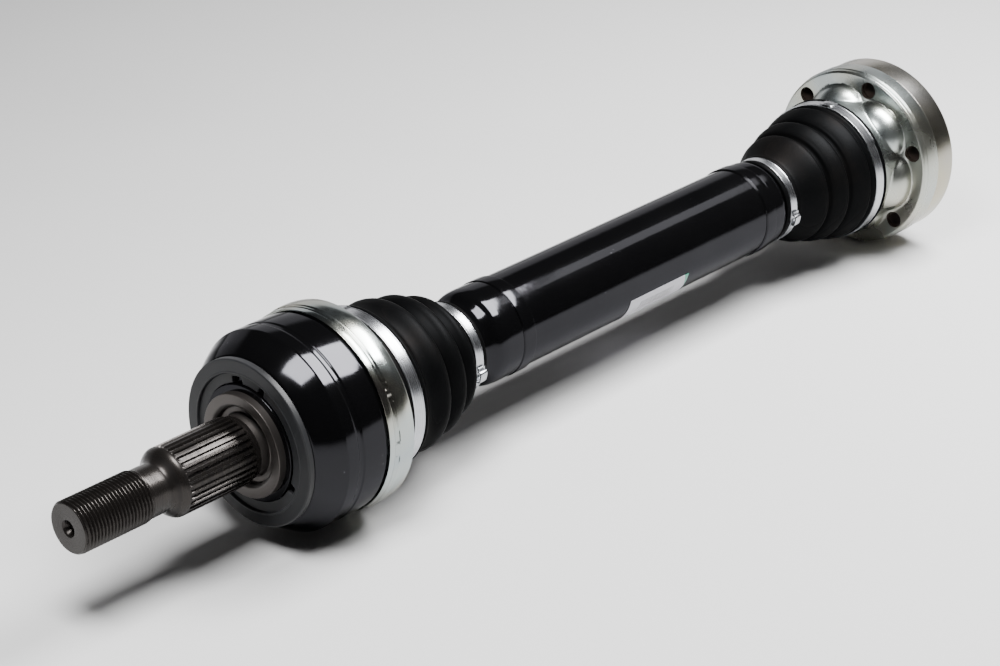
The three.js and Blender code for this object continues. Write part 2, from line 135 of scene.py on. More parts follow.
def turned(name, outline, origin, around=192, closed=True):
    """A turned piece: the same outline [x, radius] all the way round."""
    angles = np.arange(around) * 2 * math.pi / around
    grid = np.zeros((around, len(outline), 3))
    grid[..., :2] = np.asarray(outline)[None, :, :]
    grid[..., 2] = angles[:, None]
    return skin(name, grid, origin, closed)


def place(piece, body, nodes, finish):
    piece.data.materials.clear()
    piece.data.materials.append(finish)
    if body:
        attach(piece, body)
    if nodes:
        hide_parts(*nodes)
    return piece


def shader_group(name, inputs, outputs):
    """An empty shader node group with named sockets; inputs are floats with a default."""
    group = bpy.data.node_groups.new(name, "ShaderNodeTree")
    for label, value in inputs.items():
        socket = group.interface.new_socket(label, in_out="INPUT", socket_type="NodeSocketFloat")
        socket.default_value = value
    for label, kind in outputs.items():
        group.interface.new_socket(label, in_out="OUTPUT", socket_type=f"NodeSocket{kind}")
    return group, group.nodes.new("NodeGroupInput"), group.nodes.new("NodeGroupOutput")


def node(tree, kind, links=(), **settings):
    """A node with its settings, and inputs that are either values or (node, socket) pairs."""
    made = tree.nodes.new(f"ShaderNode{kind}")
    for key, value in settings.items():
        setattr(made, key, value)
    for socket, value in dict(links).items():
        if isinstance(value, tuple) and hasattr(value[0], "outputs"):
            tree.links.new(value[0].outputs[value[1]], made.inputs[socket])
        else:
            made.inputs[socket].default_value = value
    return made


def math_node(tree, operation, first, second=0.0, clamp=False):
    return node(tree, "Math", {0: first, 1: second}, operation=operation, use_clamp=clamp)


# Rings left by a turning tool: they follow X on a cylinder and the radius on a face.
turning, given, result = shader_group(
    "turning marks", {"Rings per mm": 3.0, "Unevenness": 0.5}, {"Height": "Float", "Streak": "Float"})
place_in = node(turning, "TexCoord")
parts = node(turning, "SeparateXYZ", {0: (place_in, "Object")})
flat = node(turning, "CombineXYZ", {"X": (parts, "Y"), "Y": (parts, "Z")})
reach = node(turning, "VectorMath", {0: (flat, 0)}, operation="LENGTH")
along = math_node(turning, "ADD", (parts, "X"), (reach, "Value"))
per_metre = math_node(turning, "MULTIPLY", (given, "Rings per mm"), 1000.0)
turns = math_node(turning, "MULTIPLY", (along, 0), (per_metre, 0))
rings = node(turning, "TexNoise", {"W": (turns, 0), "Scale": 1.0, "Detail": 3.0}, noise_dimensions="1D")
patches = node(turning, "TexNoise", {"Vector": (place_in, "Object"), "Scale": 60.0, "Detail": 4.0})
broken = math_node(turning, "MULTIPLY", (patches, 0), (given, "Unevenness"))
streak = math_node(turning, "ADD", (rings, 0), (broken, 0), clamp=True)
turning.links.new(rings.outputs[0], result.inputs["Height"])
turning.links.new(streak.outputs[0], result.inputs["Streak"])


def use(tree, group, **values):
    made = tree.nodes.new("ShaderNodeGroup")
    made.node_tree = group
    for label, value in values.items():
        made.inputs[label.replace("_", " ")].default_value = value
    return made


def material(name, **sockets):
    """A material with a Principled shader whose named sockets are set, and its tree."""
    made = bpy.data.materials.new(name)
    made.use_nodes = True
    tree = made.node_tree
    shader = next(n for n in tree.nodes if n.type == "BSDF_PRINCIPLED")
    for label, value in sockets.items():
        shader.inputs[label.replace("_", " ")].default_value = value
    return made, tree, shader


def bump(tree, shader, height, distance, strength=1.0):
    made = node(tree, "Bump", {"Height": height, "Distance": distance, "Strength": strength})
    tree.links.new(made.outputs["Normal"], shader.inputs["Normal"])
    return made


def ramp(tree, factor, stops):
    made = node(tree, "ValToRGB", {0: factor})
    while len(made.color_ramp.elements) < len(stops):
        made.color_ramp.elements.new(0.5)
    for element, (position, colour) in zip(made.color_ramp.elements, stops):
        element.position = position
        element.color = (*colour, 1)
    return made


def phosphated(name, rings):
    made, tree, shader = material(name, Metallic=0.8, Roughness=0.4)
    marks = use(tree, turning, Rings_per_mm=rings, Unevenness=0.7)
    tint = ramp(tree, (marks, "Streak"), [
        (0.2, (0.011, 0.010, 0.009)), (0.55, (0.018, 0.016, 0.0155)), (0.9, (0.027, 0.024, 0.022))])
    tree.links.new(tint.outputs[0], shader.inputs["Base Color"])
    oiled = ramp(tree, (marks, "Streak"), [(0.2, (0.42,) * 3), (0.9, (0.27,) * 3)])
    tree.links.new(oiled.outputs[0], shader.inputs["Roughness"])
    bump(tree, shader, (marks, "Height"), 0.00002)
    return made


turned_phosphate = phosphated("phosphated turned steel", 2.2)

thread_pitch, thread_major, thread_depth = 2.0, 13.5, 1.22
thread_run, stub_neck, neck_seam = -113.8, 12.7, -108.0
thread_x = np.concatenate([
    np.arange(stub_end, thread_run + 2, 0.2), np.linspace(thread_run + 2.4, neck_seam, 6)])
around = 120
angles = np.arange(around) * 2 * math.pi / around
face = rounded([[stub_end + 7.4, 0], [stub_end + 6.6, 1.1], [stub_end + 5.2, 1.3], [stub_end + 0.6, 4.0, 0.5],
                [stub_end, 4.5, 0.3], [stub_end, 12.4]])
grid = np.zeros((around, len(face) + len(thread_x), 3))
grid[:, :len(face), :2] = face[None]
turn = (thread_x[None, :] / thread_pitch - angles[:, None] / (2 * math.pi)) % 1.0
flank = np.clip((np.abs(2 * turn - 1) - 0.12) / 0.76, 0, 1)
fade = np.clip((thread_run + 1.5 - thread_x) / 2.5, 0, 1)[None, :]
radius = stub_neck + (thread_major - thread_depth * flank - stub_neck) * fade
lead_in = 12.4 + np.clip(thread_x - stub_end, 0, 50)[None, :] * 0.9
grid[:, len(face):, 0] = thread_x
grid[:, len(face):, 1] = np.minimum(radius, lead_in)
grid[..., 2] = angles[:, None]
place(skin("stub_thread", grid, wheel_joint, closed=False), "bell", ["wheel_bell"], turned_phosphate)


# ---- Splined stub ----
# The hub drives on 33 spline teeth hobbed into the same forging. The cutter left a rounded
# run-in at the thread side, and the teeth stop in a relief before the bearing shoulder.
teeth, spline_tip, spline_root = 33, 17.9, 16.55
flare_start, spline_start, spline_end, relief_end = -103.4, -95.2, -52.6, -49.4
per_tooth = 12
around = teeth * per_tooth
angles = np.arange(around) * 2 * math.pi / around
share = np.abs((np.arange(around) / per_tooth) % 1.0 - 0.5) * 2
groove = np.clip((share - 0.34) / 0.34, 0, 1)
groove = groove * groove * (3 - 2 * groove)
spline_x = np.concatenate([
    np.linspace(neck_seam, flare_start, 4), np.linspace(flare_start + 0.5, spline_start, 18),
    np.linspace(spline_start + 0.4, spline_start + 5, 12), np.linspace(spline_start + 7, spline_end - 2, 10),
    np.linspace(spline_end - 1.4, spline_end + 0.2, 5), np.linspace(spline_end + 0.6, relief_end, 4)])
rise = np.clip((spline_x - flare_start) / (spline_start - flare_start), 0, 1)
blank = stub_neck + (spline_tip - stub_neck) * rise * rise * (3 - 2 * rise)
tooth_chamfer = np.clip((spline_end - spline_x) / 1.2, 0, 1)
blank = np.where(spline_x > spline_end - 1.2, spline_root + (spline_tip - spline_root) * tooth_chamfer, blank)
run_in = np.clip((spline_x - spline_start) / 4.2, 0, 1)
depth = (spline_tip - spline_root) * np.sqrt(1 - (1 - run_in) ** 2)
depth = np.minimum(depth, np.maximum(blank - spline_root, 0))
grid = np.zeros((around, len(spline_x), 3))
grid[..., 0] = spline_x
grid[..., 1] = blank[None, :] - depth[None, :] * groove[:, None]
grid[..., 2] = angles[:, None]
hobbed_phosphate = phosphated("phosphated hobbed steel", 0.25)
place(skin("stub_spline", grid, wheel_joint, closed=False), "bell", ["wheel_bell"], hobbed_phosphate)


# ---- Bearing shoulder ----
# A ground annular shoulder behind the spline, which the wheel bearing is clamped against.
# It is bare steel, so it is lighter than the phosphated stub, with a broken inner edge.
shoulder_x = -47.7
ground, tree, shader = material("ground shoulder", Metallic=0.9, Roughness=0.42)
marks = use(tree, turning, Rings_per_mm=5.0, Unevenness=0.6)
tint = ramp(tree, (marks, "Streak"), [(0.2, (0.055, 0.049, 0.046)), (0.9, (0.075, 0.068, 0.064))])
tree.links.new(tint.outputs[0], shader.inputs["Base Color"])
bump(tree, shader, (marks, "Height"), 0.000012)
outline = rounded([
    [relief_end - 0.2, 15.4], [relief_end, 16.0, 0.3], [-43.8, 16.6, 0.8], [-43.8, 19.8, 0.8],
    [-46.2, 20.3, 0.8], [shoulder_x, 21.9, 0.8], [shoulder_x, 27.3, 0.4], [-42.0, 27.3],
    [-42.0, 15.4], [relief_end - 0.2, 15.4]])
place(turned("hub_shoulder", outline, wheel_joint), "bell", ["wheel_bell"], ground)


# ---- Bell ----
# The forged outer race of the wheel-side joint: a deep bell with a conical shoulder and one
# shallow turned groove, painted gloss black over its outside.
gloss, given, result = shader_group(
    "paint ripple", {"Ripple scale": 90.0, "Blotch scale": 14.0},
    {"Height": "Float", "Blotch": "Float", "Specks": "Float"})
place_in = node(gloss, "TexCoord")
ripple = node(gloss, "TexNoise", {
    "Vector": (place_in, "Object"), "Scale": (given, "Ripple scale"), "Detail": 2.0})
blotch = node(gloss, "TexNoise", {
    "Vector": (place_in, "Object"), "Scale": (given, "Blotch scale"), "Detail": 5.0})
specks = node(gloss, "TexVoronoi", {"Vector": (place_in, "Object"), "Scale": 260.0})
dots = math_node(gloss, "LESS_THAN", (specks, "Distance"), 0.09)
pick = node(gloss, "TexNoise", {"Vector": (place_in, "Object"), "Scale": 35.0, "Detail": 1.0})
some = math_node(gloss, "GREATER_THAN", (pick, 0), 0.62)
sparse = math_node(gloss, "MULTIPLY", (dots, 0), (some, 0))
gloss.links.new(ripple.outputs[0], result.inputs["Height"])
gloss.links.new(blotch.outputs[0], result.inputs["Blotch"])
gloss.links.new(sparse.outputs[0], result.inputs["Specks"])

black_paint, tree, shader = material(
    "gloss black paint", Metallic=0.92, IOR=1.5, Specular_Tint=(0.55, 0.55, 0.56, 1))
ripples = use(tree, gloss, Ripple_scale=110.0, Blotch_scale=16.0)
tint = ramp(tree, (ripples, "Blotch"), [(0.3, (0.016, 0.016, 0.018)), (0.7, (0.020, 0.020, 0.022))])
dusty = node(tree, "Mix", {
    "Factor": (ripples, "Specks"), 6: (tint, 0), 7: (0.10, 0.10, 0.11, 1)}, data_type="RGBA")
tree.links.new(dusty.outputs[2], shader.inputs["Base Color"])
shine = ramp(tree, (ripples, "Blotch"), [(0.35, (0.07,) * 3), (0.7, (0.13,) * 3)])
tree.links.new(shine.outputs[0], shader.inputs["Roughness"])
bump(tree, shader, (ripples, "Height"), 0.00035, 0.16)

bell_step = -0.8
outline = rounded([
    [-40.0, 29.6], [-40.0, 44.0, 1.2], [-34.5, 48.4, 3.0], [-26.4, 53.2, 0.7], [-19.4, 53.2, 0.5],
    [-18.6, 52.75, 0.5], [-16.2, 52.75, 0.5], [-15.4, 53.2, 0.5], [bell_step, 53.2, 0.5], [bell_step, 52.3],
    [13.8, 52.3, 0.5], [13.8, 48.0], [-26.0, 48.0, 3.0], [-36.0, 40.0, 2.0], [-36.0, 29.6], [-40.0, 29.6]])
place(
    turned("bell_shell", outline, wheel_joint, 240), "bell", ["wheel_bell"], black_paint)
outline = rounded([[-43.4, 16.5], [-43.4, 30.6, 0.4], [-36.2, 30.6], [-36.2, 16.5], [-43.4, 16.5]])
place(turned("bell_hub", outline, wheel_joint), "bell", ["wheel_bell"], black_paint)


# ---- Dust ring ----
# A moulded plastic ring pressed on the bell's hub to keep spray off the wheel bearing. Its
# face steps down to an inner land with clearance notches round the bore.
ring_plastic, tree, shader = material(
    "moulded black plastic", Metallic=0.0, IOR=1.46, Specular_IOR_Level=0.25)
grain_in = node(tree, "TexCoord")
grain = node(tree, "TexNoise", {"Vector": (grain_in, "Object"), "Scale": 900.0, "Detail": 3.0})
smear = node(tree, "TexNoise", {"Vector": (grain_in, "Object"), "Scale": 45.0, "Detail": 5.0})
tint = ramp(tree, (smear, 0), [(0.3, (0.008, 0.0082, 0.009)), (0.75, (0.016, 0.0165, 0.018))])
tree.links.new(tint.outputs[0], shader.inputs["Base Color"])
dull = ramp(tree, (smear, 0), [(0.3, (0.38,) * 3), (0.75, (0.52,) * 3)])
tree.links.new(dull.outputs[0], shader.inputs["Roughness"])
bump(tree, shader, (grain, 0), 0.00005, 0.35)

ring_low, ring_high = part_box("hub_dust_ring")
ring_face = (ring_low.x - wheel_joint) / MM - 0.1
ring_back = (ring_high.x - wheel_joint) / MM
outline = rounded([
    [ring_back, 31.0], [ring_face + 1.5, 31.0, 0.3], [ring_face + 1.5, 36.0, 0.3],
    [ring_face + 0.3, 36.4, 0.2],
    [ring_face, 36.7, 0.2], [ring_face, 37.3, 0.2], [ring_face + 0.2, 37.5, 0.2],
    [ring_face + 0.2, 43.2, 0.2], [ring_face + 0.7, 43.9, 0.3], [ring_back, 43.9], [ring_back, 31.0]])
around = 360
angles = np.arange(around) * 2 * math.pi / around
grid = np.zeros((around, len(outline), 3))
grid[..., :2] = outline[None]
grid[..., 2] = angles[:, None]
for centre, half in ((78, 7), (108, 4), (207, 5), (318, 6)):
    away = np.abs((np.degrees(angles) - centre + 180) % 360 - 180)
    notch = np.clip((half - away) / 1.2, 0, 1)[:, None]
    inside = outline[None, :, 1] < 33
    grid[..., 1] = np.where(inside, grid[..., 1] + 3.6 * notch, grid[..., 1])
dust_ring = skin("dust_ring", grid, wheel_joint)
place(dust_ring, "bell", ["hub_dust_ring"], ring_plastic)


# ---- Boot adapter ----
# A zinc-plated sheet ring rolled over the mouth of the bell. A short stepped lip meets the
# bell, the wide band carries the plating colours, and a collar behind it takes the boot.
plating, given, result = shader_group(
    "plating bloom", {"Bloom scale": 9.0, "Grain scale": 700.0, "Haze": 0.0},
    {"Color": "Color", "Roughness": "Float", "Height": "Float"})
place_in = node(plating, "TexCoord")
bloom = node(plating, "TexNoise", {
    "Vector": (place_in, "Object"), "Scale": (given, "Bloom scale"), "Detail": 4.0, "Distortion": 0.6})
colours = ramp(plating, (bloom, 0), [
    (0.22, (0.27, 0.31, 0.34)), (0.42, (0.34, 0.37, 0.36)), (0.56, (0.37, 0.37, 0.32)),
    (0.68, (0.35, 0.32, 0.30)), (0.82, (0.29, 0.34, 0.32))])
grain = node(plating, "TexNoise", {
    "Vector": (place_in, "Object"), "Scale": (given, "Grain scale"), "Detail": 2.0})
scuffs = node(plating, "TexNoise", {"Vector": (place_in, "Object"), "Scale": 60.0, "Detail": 6.0})
hazed = node(plating, "MapRange", {
    "Value": (scuffs, 0), "From Min": 0.35, "From Max": 0.7, "To Min": 0.15, "To Max": 0.24})
plating.links.new(colours.outputs[0], result.inputs["Color"])
dulled = math_node(plating, "ADD", (hazed, 0), (given, "Haze"))
plating.links.new(dulled.outputs[0], result.inputs["Roughness"])
plating.links.new(grain.outputs[0], result.inputs["Height"])


def zinc(name, scale, grain, haze):
    made, tree, shader = material(name, Metallic=1.0, Specular_Tint=(0.8, 0.8, 0.8, 1))
    bloomed = use(tree, plating, Bloom_scale=scale, Grain_scale=grain, Haze=haze)
    tree.links.new(bloomed.outputs["Color"], shader.inputs["Base Color"])
    tree.links.new(bloomed.outputs["Roughness"], shader.inputs["Roughness"])
    bump(tree, shader, (bloomed, "Height"), 0.00002, 0.25)
    return made


bright_zinc = zinc("bright zinc", 26.0, 900.0, 0.0)
outline = rounded([
    [1.0, 52.7], [1.0, 53.9, 0.35], [4.2, 54.1, 0.2], [4.5, 53.7, 0.15], [5.0, 53.7, 0.15], [5.3, 54.15, 0.2],
    [6.3, 54.2, 0.25], [6.9, 54.7, 0.4], [12.5, 55.0, 5.0], [17.4, 54.2, 1.2], [18.0, 53.2, 0.8],
    [18.0, 51.8, 0.8],
    [16.6, 50.4, 0.8], [16.6, 43.6, 1.4], [19.2, 41.2, 1.4], [38.0, 41.2, 0.3], [38.0, 39.6],
    [15.2, 39.6, 0.8], [15.2, 50.6, 0.8], [15.2, 52.7, 0.4], [1.0, 52.7]])
grid = np.zeros((around, len(outline), 3))
grid[..., :2] = outline[None]
grid[..., 2] = angles[:, None]
on_lip = (outline[:, 0] > 5.2) & (outline[:, 0] < 7.2) & (outline[:, 1] > 53.9)
for centre, half in ((148, 2.5), (155, 2.5), (176, 4), (190, 3), (60, 4), (262, 3), (320, 4)):
    away = np.abs((np.degrees(angles) - centre + 180) % 360 - 180)
    dent = np.clip((half - away) / 1.0, 0, 1)[:, None]
    grid[..., 1] -= 0.55 * dent * on_lip[None, :]
place(
    skin("boot_adapter", grid, wheel_joint), "bell", ["outboard_boot_adapter"], bright_zinc)


# ---- Hose clamps ----
# Four stainless bands close the boots. Each is a strip wrapped on itself and drawn up by a
# pinched ear, so the overlap shows as a second layer beside the ear.
band_steel, tree, shader = material("clamp strip", Metallic=1.0)
marks = use(tree, turning, Rings_per_mm=4.0, Unevenness=0.5)
tint = ramp(tree, (marks, "Streak"), [(0.15, (0.30, 0.31, 0.33)), (0.9, (0.42, 0.43, 0.45))])
tree.links.new(tint.outputs[0], shader.inputs["Base Color"])
shine = ramp(tree, (marks, "Streak"), [(0.2, (0.16,) * 3), (0.9, (0.28,) * 3)])
tree.links.new(shine.outputs[0], shader.inputs["Roughness"])
bump(tree, shader, (marks, "Height"), 0.00001)


def hoop(name, body, cad_node, origin, ear_at, ear_height=2.6, overlap=50):
    """A band with a raised overlap on one side of its ear."""
    low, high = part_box(cad_node)
    first, last = (low.x - origin) / MM, (high.x - origin) / MM
    inner = min(abs(low.y), abs(high.y), abs(low.z), abs(high.z)) / MM - 1.05
    outline = rounded([
        [first, inner], [first, inner + 0.95, 0.25], [first + 0.5, inner + 0.95, 0.2],
        [first + 0.9, inner + 0.85, 0.2], [last - 0.9, inner + 0.85, 0.2],
        [last - 0.5, inner + 0.95, 0.2], [last, inner + 0.95, 0.25], [last, inner],
        [first, inner]], 3)
    around = 240
    angles = np.arange(around) * 2 * math.pi / around
    grid = np.zeros((around, len(outline), 3))
    grid[..., :2] = outline[None]
    grid[..., 2] = angles[:, None]
    past = (np.degrees(angles) - ear_at) % 360
    layer = np.clip((overlap - past) / 1.5, 0, 1) * np.clip(past / 1.5, 0, 1)
    raised = outline[None, :, 1] > inner + 0.4
    grid[..., 1] += 0.7 * layer[:, None] * raised
    band = place(skin(name, grid, origin), body, [cad_node], band_steel)
    ear(f"{name}_ear", body, cad_node, origin, (first + 0.5, last - 0.5), inner + 0.9, ear_at, ear_height)
    return band


def ear(name, body, cad_node, origin, span, base, at, height):
    """The pinched loop of strip that draws a clamp tight: an omega outline as wide as the band."""
    path = np.array([
        [-5.2, 0.0], [-3.4, 0.1], [-2.6, 0.5], [-2.9, height * 0.75], [-2.0, height], [0.0, height * 1.04],
        [2.0, height], [2.9, height * 0.75], [2.6, 0.5], [3.4, 0.1], [5.2, 0.0]])
    for _ in range(2):
        cut = np.stack([0.75 * path[:-1] + 0.25 * path[1:], 0.25 * path[:-1] + 0.75 * path[1:]], 1)
        path = np.concatenate([path[:1], cut.reshape(-1, 2), path[-1:]])
    heading = np.gradient(path, axis=0)
    heading /= np.linalg.norm(heading, axis=1)[:, None]
    outer = path + np.stack([-heading[:, 1], heading[:, 0]], 1) * 0.75
    loop = np.concatenate([path, outer[::-1]])
    angle = math.radians(at)
    out, side = np.array([math.cos(angle), math.sin(angle)]), np.array([-math.sin(angle), math.cos(angle)])
    work = bmesh.new()
    rows = []
    for x in (span[0], span[0] + 0.3, span[1] - 0.3, span[1]):
        shrink = 0.0 if x in (span[0], span[1]) else 0.12
        row = []
        for t, h in loop:
            at_yz = out * (base + h + shrink * (1 if h > 1 else 0)) + side * t
            row.append(work.verts.new((x * MM + origin, at_yz[0] * MM, at_yz[1] * MM)))
        rows.append(row)
    for one, two in zip(rows, rows[1:]):
        for i in range(len(loop)):
            k = (i + 1) % len(loop)
            work.faces.new((one[i], one[k], two[k], two[i]))
    half = len(loop) // 2
    for row in (rows[0], rows[-1]):
        for i in range(half - 1):
            work.faces.new((row[i], row[i + 1], row[2 * half - 2 - i], row[2 * half - 1 - i]))
    mesh = bpy.data.meshes.new(name)
    work.to_mesh(mesh)
    work.free()
    return place(finish_mesh(name, mesh), body, [cad_node], band_steel)


gearbox_joint = joint_x("inboard_tilt_a")
hoop("wheel_boot_large_clamp", "bell", "outboard_large_clamp", wheel_joint, 30)
hoop("wheel_boot_small_clamp", "shaft", "outboard_small_clamp", wheel_joint, 194)
hoop("gearbox_boot_large_clamp", "flange", "inboard_large_clamp", gearbox_joint, 93, 0.9)
hoop("gearbox_boot_small_clamp", "shaft", "inboard_small_clamp", gearbox_joint, 191)


# ---- Wheel-side boot ----
# A moulded rubber bellows with three folds that keeps the grease in. The large sleeve sits
# on the adapter's collar and the small one on the shaft. It is cut into six stages; the four
# that span the joint's balls and cage are left unattached where they stand.
boot_rubber, tree, shader = material(
    "boot rubber", Metallic=0.6, IOR=1.4, Specular_IOR_Level=0.06, Specular_Tint=(0.3, 0.3, 0.3, 1))
wear_in = node(tree, "TexCoord")
bloom = node(tree, "TexNoise", {
    "Vector": (wear_in, "Object"), "Scale": 22.0, "Detail": 6.0, "Roughness": 0.6})
skin_grain = node(tree, "TexNoise", {"Vector": (wear_in, "Object"), "Scale": 1100.0, "Detail": 2.0})
tint = ramp(tree, (bloom, 0), [
    (0.3, (0.0026, 0.0028, 0.0031)), (0.55, (0.0038, 0.0039, 0.0041)), (0.8, (0.0075, 0.0064, 0.0060))])
tree.links.new(tint.outputs[0], shader.inputs["Base Color"])
satin = ramp(tree, (bloom, 0), [(0.3, (0.40,) * 3), (0.75, (0.52,) * 3)])
tree.links.new(satin.outputs[0], shader.inputs["Roughness"])
bump(tree, shader, (skin_grain, 0), 0.00004, 0.3)


def smoothed(points, times=3):
    """A soft outline: corners are cut again and again, and the two ends stay."""
    path = np.array(points, float)
    for _ in range(times):
        cut = np.stack([0.75 * path[:-1] + 0.25 * path[1:], 0.25 * path[:-1] + 0.75 * path[1:]], 1)
        path = np.concatenate([path[:1], cut.reshape(-1, 2), path[-1:]])
    return path


def bellows(name, outer, wall, origin, stages, cad_node, around=168):
    """Cuts a boot's outline into stages (from, to, body before, body after); a stage on one body rides on it,
    one between two bodies is left unattached.
    """
    spine = smoothed(outer)
    for stage, (first, last, before, after) in enumerate(stages):
        inside = (spine[:, 0] - first) * (spine[:, 0] - last) <= 0
        part = spine[inside]
        ends = [np.array([x, np.interp(x, *sorted_columns(spine))]) for x in (first, last)]
        if abs(part[0, 0] - first) > abs(part[-1, 0] - first):
            part = part[::-1]
        part = np.concatenate([ends[:1], part, ends[1:]])
        inner = part - [0, wall]
        outline = np.concatenate([part, inner[::-1]])
        piece = turned(f"{name}_{stage + 1}", outline, origin, around)
        place(piece, None, [cad_node], boot_rubber)
        if before == after:
            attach(piece, before)
        else:
            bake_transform(piece)


def sorted_columns(spine):
    order = np.argsort(spine[:, 0])
    return spine[order, 0], spine[order, 1]


wheel_boot = [
    [19.6, 42.9], [19.7, 44.0], [26.4, 44.2], [27.6, 43.9], [28.2, 43.15], [36.0, 43.15],
    [36.3, 43.6], [37.0, 44.0],
    [38.4, 43.7], [40.2, 41.6], [42.5, 40.3], [46.5, 40.6], [50.5, 41.7], [54.5, 42.1],
    [57.6, 41.0], [58.6, 38.4],
    [59.6, 36.0], [61.0, 35.2], [62.6, 36.6], [65.4, 38.6], [69.4, 39.1], [72.4, 37.8],
    [73.2, 35.0], [74.4, 31.9],
    [75.8, 31.0], [77.4, 32.4], [80.4, 34.2], [83.6, 34.0], [85.6, 31.8], [86.6, 28.0],
    [88.2, 25.8], [90.0, 25.5],
    [90.6, 24.5], [97.8, 24.5], [98.2, 25.3], [100.2, 25.3], [101.0, 24.6]]
bellows("wheel_boot", wheel_boot, 1.75, wheel_joint, [
    (101.0, 86.6, "shaft", "shaft"), (86.6, 75.8, "shaft", "outboard_ball_top"),
    (75.8, 61.0, "outboard_ball_top", "outboard_cage_set"),
    (61.0, 50.5, "outboard_cage_set", "outboard_ball_bottom"),
    (50.5, 38.4, "outboard_ball_bottom", "bell"), (38.4, 19.6, "bell", "bell")], "outboard_boot")


# ---- Shaft ----
# Two forged ends are friction-welded to a 52 mm tube, which is why a slightly proud, turned
# band with a fine line at each edge stands at both welds. The whole shaft is gloss black.
span = (gearbox_joint - wheel_joint) / MM
outline = rounded([
    [10.0, 9.0], [10.0, 12.9], [64.0, 13.0, 3.0], [73.0, 17.6, 3.0], [82.0, 21.5, 2.0], [102.6, 21.5, 2.6],
    [106.2, 22.6, 2.4], [110.4, 26.0, 3.2], [115.0, 26.75, 2.5], [127.6, 26.75, 0.2], [127.8, 26.5, 0.1],
    [128.1, 26.5, 0.1], [128.4, 27.15, 0.25], [136.9, 27.15, 0.25], [137.2, 26.6, 0.1], [137.5, 26.6, 0.1],
    [137.5, 20.0], [10.0, 9.0]])
place(
    turned("shaft_wheel_end", outline, wheel_joint, 168), "shaft", ["shaft_outboard_end"], black_paint)
tube_x = np.linspace(137.4, span - 132.3, 40)
outline = np.concatenate([[[137.4, 22.4]], np.stack([tube_x, np.full(40, 26.12)], 1), [[span - 132.3, 22.4]]])
place(
    turned("shaft_tube_wall", outline, wheel_joint, 168), "shaft", ["shaft_tube"], black_paint)
outline = rounded([
    [8.0, 9.0], [8.0, 12.9], [72.0, 13.0, 3.0], [82.0, 17.6, 3.0], [92.0, 21.5, 2.0], [109.4, 21.5, 1.4],
    [111.0, 22.2, 0.9], [112.2, 25.0, 1.6], [114.6, 26.0, 1.6], [122.4, 26.1, 0.2], [122.6, 25.9, 0.1],
    [122.9, 25.9, 0.1], [123.2, 26.85, 0.25], [131.6, 26.85, 0.25], [131.9, 26.3, 0.1], [132.2, 26.3, 0.1],
    [132.2, 20.0], [8.0, 9.0]])
mirrored = outline * [-1, 1]
place(
    turned("shaft_gearbox_end", mirrored, gearbox_joint, 168), "shaft", ["shaft_inboard_end"], black_paint)


# ---- Part label ----
# A printed polyester label wrapped on the tube. Its printing is only a block of plain bars
# and a green corner.
label_low, label_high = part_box("shaft_label")
label_paper, tree, shader = material("printed label", Metallic=0.0, Roughness=0.34, IOR=1.5)
where = node(tree, "UVMap", uv_map="printing")
axes = node(tree, "SeparateXYZ", {0: (where, 0)})
bars = node(tree, "TexNoise", {"W": (axes, "X"), "Scale": 95.0, "Detail": 1.0}, noise_dimensions="1D")
striped = math_node(tree, "GREATER_THAN", (bars, 0), 0.5)


def between(tree, value, low, high):
    above = math_node(tree, "GREATER_THAN", value, low)
    below = math_node(tree, "LESS_THAN", value, high)
    return math_node(tree, "MULTIPLY", (above, 0), (below, 0))


block_x = between(tree, (axes, "X"), 0.2, 0.78)
block_y = between(tree, (axes, "Y"), 0.1, 0.27)
block = math_node(tree, "MULTIPLY", (block_x, 0), (block_y, 0))
printed = math_node(tree, "MULTIPLY", (block, 0), (striped, 0))
paper = node(tree, "Mix", {
    "Factor": (printed, 0), 6: (0.40, 0.39, 0.43, 1), 7: (0.12, 0.12, 0.13, 1)}, data_type="RGBA")
slant = math_node(tree, "MULTIPLY", (axes, "Y"), -0.3)
leaning = math_node(tree, "ADD", (axes, "X"), (slant, 0))
green = math_node(tree, "GREATER_THAN", (leaning, 0), 0.93)
coloured = node(tree, "Mix", {
    "Factor": (green, 0), 6: (paper, 2), 7: (0.02, 0.24, 0.15, 1)}, data_type="RGBA")
tree.links.new(coloured.outputs[2], shader.inputs["Base Color"])
label_from, label_to, label_radius = 193.5, 283.5, 26.42
columns, rows = 40, 44
mesh = bpy.data.meshes.new("label")
vertices, faces, printing = [], [], []
for lift in (0.0, -0.22):
    for j in range(rows + 1):
        for i in range(columns + 1):
            u, v = i / columns, j / rows
            turn = math.radians(label_from + (label_to - label_from) * v)
            x = label_low.x + (label_high.x - label_low.x) * u
            radius = (label_radius + lift) * MM
            vertices.append((x, radius * math.cos(turn), radius * math.sin(turn)))
            printing.append((u, v))
layer = (rows + 1) * (columns + 1)
for j in range(rows):
    for i in range(columns):
        a = j * (columns + 1) + i
        b = a + columns + 1
        faces.append((a, a + 1, b + 1, b))
        faces.append((layer + b, layer + b + 1, layer + a + 1, layer + a))
rim = [i for i in range(columns + 1)]
rim += [j * (columns + 1) + columns for j in range(1, rows + 1)]
rim += [rows * (columns + 1) + i for i in range(columns - 1, -1, -1)]
rim += [j * (columns + 1) for j in range(rows - 1, 0, -1)]
for one, two in zip(rim, rim[1:] + rim[:1]):
    faces.append((two, one, layer + one, layer + two))
mesh.from_pydata(vertices, [], faces)
uv = mesh.uv_layers.new(name="printing")
for loop in mesh.loops:
    uv.data[loop.index].uv = printing[loop.vertex_index]
mesh.shade_smooth()
mesh.set_sharp_from_angle(angle=math.radians(40))
label = bpy.data.objects.new("label", mesh)
bpy.context.collection.objects.link(label)
place(label, "shaft", ["shaft_label"], label_paper)
